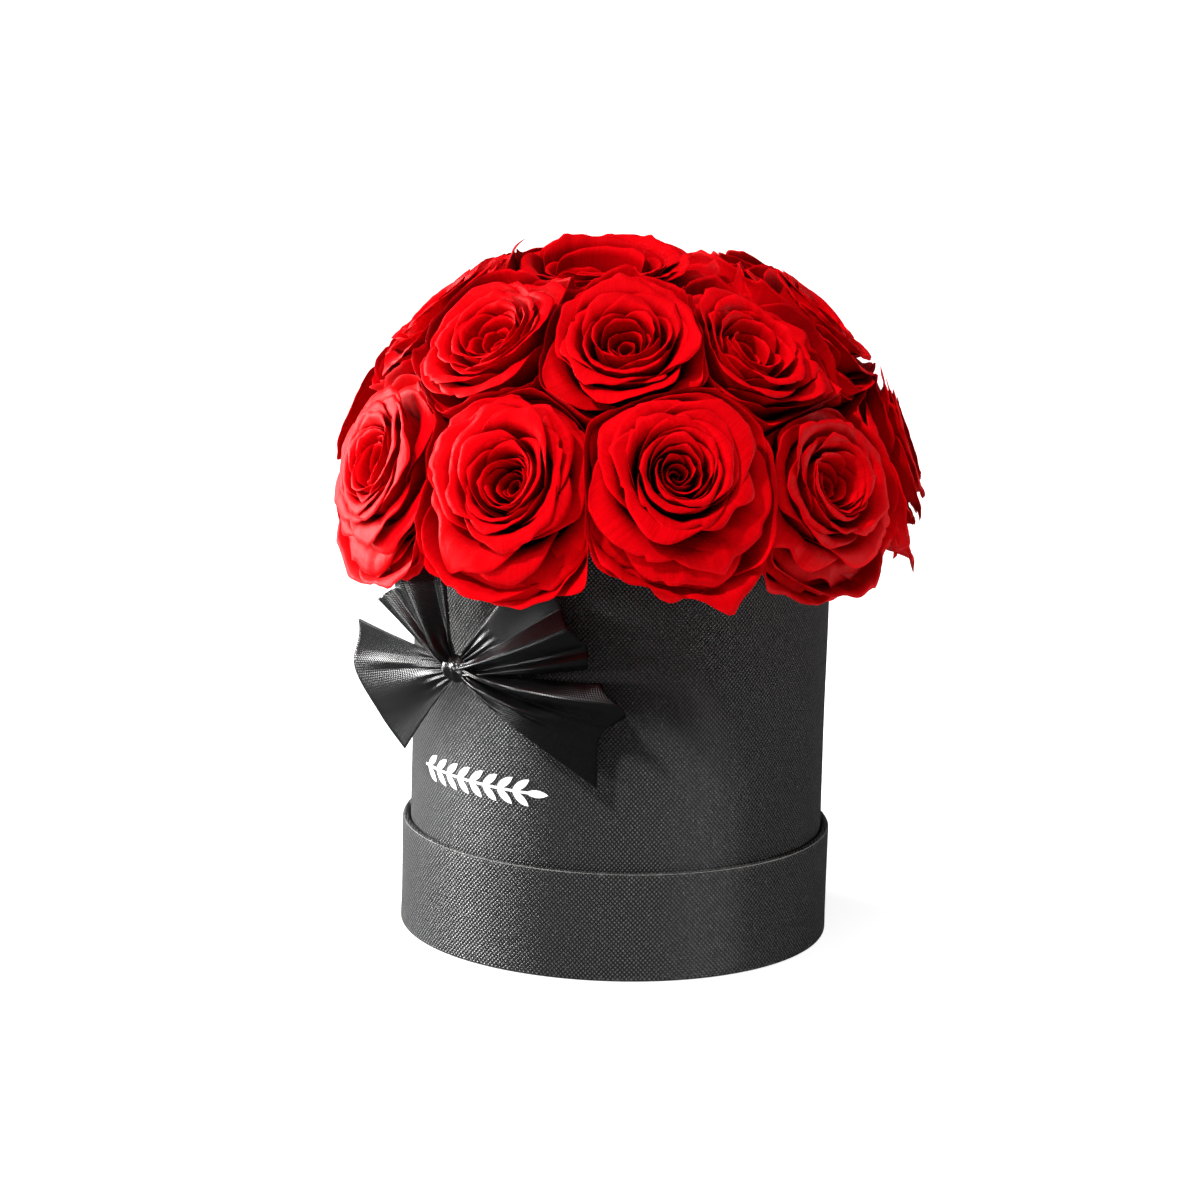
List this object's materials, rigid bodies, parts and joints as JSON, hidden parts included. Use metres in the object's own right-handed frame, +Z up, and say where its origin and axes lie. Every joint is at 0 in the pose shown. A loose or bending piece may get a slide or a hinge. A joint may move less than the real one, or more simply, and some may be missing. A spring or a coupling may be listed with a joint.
{
  "type": "flower box",
  "caption": "Round paper-covered gift box standing in its upturned lid, filled with foam and a dome of roses, with a satin ribbon bow on the wall.",
  "frame": {"origin": "middle of the underside of the lid that the box stands in", "axes": "+Z up, -Y towards the side with the bow and the ornament, +X to the right of someone facing that side"},
  "size_m": [0.206, 0.2058, 0.2556],
  "materials": {
    "textured_paper": "charcoal cross-hatch embossed, satin",
    "grey_board": "bare grey board",
    "lining_paper": "smooth matte black",
    "floral_foam": "open-celled dry foam",
    "white_print": "matte white ink",
    "hot_glue": "cloudy set glue",
    "satin_ribbon": "black satin",
    "rose_petal": "velvety preserved petal",
    "rose_stem": "green stem and calyx"
  },
  "bodies": {
    "base_lid": {"lid_top_cover": "textured_paper", "lid_top_board": "grey_board", "lid_top_lining": "lining_paper", "lid_wall_board": "grey_board", "lid_wall_cover": "textured_paper", "lid_wall_lining": "lining_paper"},
    "flower_box": {"box_bottom_cover": "textured_paper", "box_bottom_board": "grey_board", "box_bottom_lining": "lining_paper", "box_wall_board": "grey_board", "box_wall_cover": "textured_paper", "box_wall_lining": "lining_paper", "foam_plug": "floral_foam", "foam_dome": "floral_foam", "front_ornament": "white_print", "bow_glue_pad": "hot_glue", "bow_ribbon_lower": "satin_ribbon", "bow_ribbon_upper": "satin_ribbon", "bow_knot": "satin_ribbon", "rose_head_lower_1": "rose_petal", "rose_head_lower_2": "rose_petal", "rose_head_lower_3": "rose_petal", "rose_head_lower_4": "rose_petal", "rose_head_lower_5": "rose_petal", "rose_head_lower_6": "rose_petal", "rose_head_lower_7": "rose_petal", "rose_head_lower_8": "rose_petal", "rose_head_lower_9": "rose_petal", "rose_head_upper_1": "rose_petal", "rose_head_upper_2": "rose_petal", "rose_head_upper_3": "rose_petal", "rose_head_upper_4": "rose_petal", "rose_head_upper_5": "rose_petal", "rose_head_upper_6": "rose_petal", "rose_head_upper_7": "rose_petal", "rose_head_upper_8": "rose_petal", "rose_head_top": "rose_petal", "rose_stem_lower_1": "rose_stem", "rose_stem_lower_2": "rose_stem", "rose_stem_lower_3": "rose_stem", "rose_stem_lower_4": "rose_stem", "rose_stem_lower_5": "rose_stem", "rose_stem_lower_6": "rose_stem", "rose_stem_lower_7": "rose_stem", "rose_stem_lower_8": "rose_stem", "rose_stem_lower_9": "rose_stem", "rose_stem_upper_1": "rose_stem", "rose_stem_upper_2": "rose_stem", "rose_stem_upper_3": "rose_stem", "rose_stem_upper_4": "rose_stem", "rose_stem_upper_5": "rose_stem", "rose_stem_upper_6": "rose_stem", "rose_stem_upper_7": "rose_stem", "rose_stem_upper_8": "rose_stem", "rose_stem_top": "rose_stem"}
  },
  "joints": [
    {"name": "box_lift", "type": "slide", "parent": "base_lid", "child": "flower_box", "axis": [0, 0, 1], "range_m": [0, 0.05]}
  ]
}
